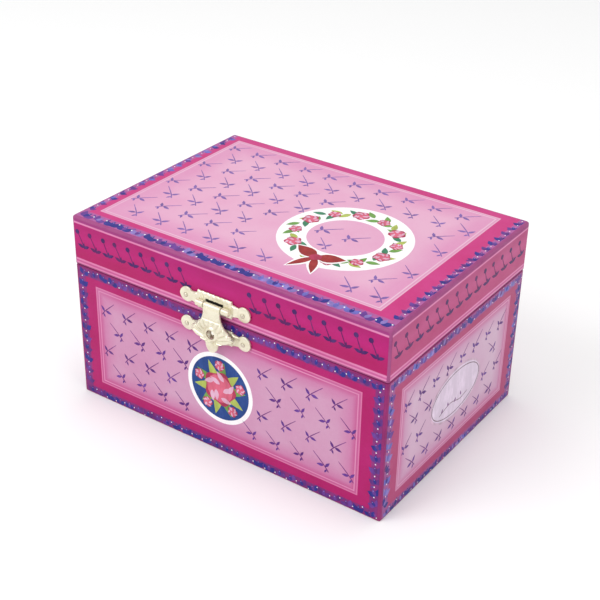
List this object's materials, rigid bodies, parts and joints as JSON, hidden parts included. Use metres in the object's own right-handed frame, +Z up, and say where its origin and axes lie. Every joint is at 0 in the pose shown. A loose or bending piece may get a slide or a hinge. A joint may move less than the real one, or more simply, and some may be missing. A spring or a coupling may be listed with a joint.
{
  "type": "ballerina jewellery box",
  "caption": "Paper-covered musical jewellery box with a hinged lid and stamped latch, a mirror, ring rolls, a wind-up movement and a dancer that unfolds and turns.",
  "frame": {"origin": "middle of the underside of the case, where it stands", "axes": "+Z up, -Y out of the front with the latch, +X along the width to the right as seen from the front; the lid is closed at rest"},
  "size_m": [0.152, 0.1265, 0.085],
  "materials": {
    "printed_paper": "printed paper over board, satin varnish",
    "lid_paper": "printed paper over board, satin varnish",
    "lining_paper": "plain pink paper over board, matte",
    "velvet": "flocked velvet, matte",
    "ring_velvet": "velvet over foam, matte",
    "cream_plate": "cream-gold plating, satin",
    "nail_steel": "plated steel",
    "hinge_brass": "brassed steel",
    "mirror_glass": "silvered glass",
    "gilt_card": "gilt card",
    "cast_zinc": "as cast",
    "steel": "bright steel",
    "brass": "satin brass",
    "white_nylon": "moulded nylon",
    "pink_plastic": "moulded plastic",
    "doll_plastic": "painted moulded plastic",
    "tulle": "stiff net"
  },
  "bodies": {
    "case": {"base_panel": "lining_paper", "front_wall": "printed_paper", "back_wall": "printed_paper", "left_wall": "printed_paper", "right_wall": "printed_paper", "deck": "velvet", "deck_riser": "lining_paper", "compartment_divider": "lining_paper", "floor_pad": "velvet", "ring_block": "velvet", "ring_roll_1": "ring_velvet", "ring_roll_2": "ring_velvet", "ring_roll_3": "ring_velvet", "keeper_plate": "cream_plate", "catch_stud": "nail_steel", "keeper_nail_left": "nail_steel", "keeper_nail_right": "nail_steel", "hinge_leaf_case_left": "hinge_brass", "hinge_leaf_case_right": "hinge_brass", "hinge_pin_left": "hinge_brass", "hinge_pin_right": "hinge_brass", "bedplate": "cast_zinc", "comb": "steel", "comb_screw_1": "steel", "comb_screw_2": "steel", "governor_bracket": "cast_zinc", "spindle_foot": "white_nylon", "deck_bush": "white_nylon"},
    "lid": {"lid_top": "lid_paper", "lid_front": "printed_paper", "lid_back": "printed_paper", "lid_left": "printed_paper", "lid_right": "printed_paper", "mirror": "mirror_glass", "mirror_frame": "gilt_card", "hasp_plate": "cream_plate", "hasp_pin": "nail_steel", "hasp_nail_left": "nail_steel", "hasp_nail_right": "nail_steel", "hinge_leaf_lid_left": "hinge_brass", "hinge_leaf_lid_right": "hinge_brass"},
    "latch_tongue": {"hasp_tongue": "cream_plate"},
    "key_and_arbor": {"winding_key": "brass", "winding_arbor": "steel"},
    "barrel": {"spring_barrel": "brass", "mainspring": "steel"},
    "cylinder": {"pinned_cylinder": "brass", "cylinder_arbor": "steel", "cylinder_pinion": "brass", "cylinder_gear": "brass"},
    "governor": {"governor_worm": "steel", "governor_fan": "white_nylon"},
    "turntable": {"spindle": "steel", "turntable_gear": "white_nylon", "turntable_disc": "pink_plastic", "dancer_spring": "steel"},
    "dancer_figure": {"dancer": "doll_plastic", "tutu": "tulle"},
    "stop": {"stop_wire": "steel"}
  },
  "joints": [
    {"name": "lid_hinge", "type": "hinge", "parent": "case", "child": "lid", "pos_m": [0, 0.0556, 0.063], "axis": [-1, 0, 0], "range_deg": [0, 100]},
    {"name": "latch_hinge", "type": "hinge", "parent": "lid", "child": "latch_tongue", "pos_m": [-0.0019, -0.056, 0.0683], "axis": [-1, 0, 0], "range_deg": [0, 150]},
    {"name": "key_wind", "type": "hinge", "parent": "case", "child": "key_and_arbor", "pos_m": [0, 0.05, 0.016], "axis": [0, 1, 0], "continuous": true},
    {"name": "cylinder_spin", "type": "hinge", "parent": "case", "child": "cylinder", "pos_m": [0, 0.0255, 0.018], "axis": [0, 0, 1], "continuous": true},
    {"name": "barrel_spin", "type": "hinge", "parent": "case", "child": "barrel", "pos_m": [0, 0.04, 0.016], "axis": [0, 1, 0], "continuous": true},
    {"name": "turntable_spin", "type": "hinge", "parent": "case", "child": "turntable", "pos_m": [0, 0, 0.03], "axis": [0, 0, 1], "continuous": true},
    {"name": "governor_spin", "type": "hinge", "parent": "case", "child": "governor", "pos_m": [0.01015, 0.03, 0.0322], "axis": [0, 1, 0], "continuous": true},
    {"name": "dancer_fold", "type": "hinge", "parent": "turntable", "child": "dancer_figure", "pos_m": [0, 0, 0.057], "axis": [-1, 0, 0], "range_deg": [0, 90]},
    {"name": "stop_slide", "type": "slide", "parent": "case", "child": "stop", "axis": [0, 0, 1], "range_m": [0, 0.0025]}
  ],
  "couplings": [
    {"joint": "barrel_spin", "follows": "cylinder_spin", "ratio": 0.66667},
    {"joint": "turntable_spin", "follows": "cylinder_spin", "ratio": -0.5},
    {"joint": "governor_spin", "follows": "cylinder_spin", "ratio": 24},
    {"joint": "dancer_fold", "follows": "lid_hinge", "ratio": 0.9},
    {"joint": "stop_slide", "follows": "lid_hinge", "m_per_rad": 0.0014}
  ]
}
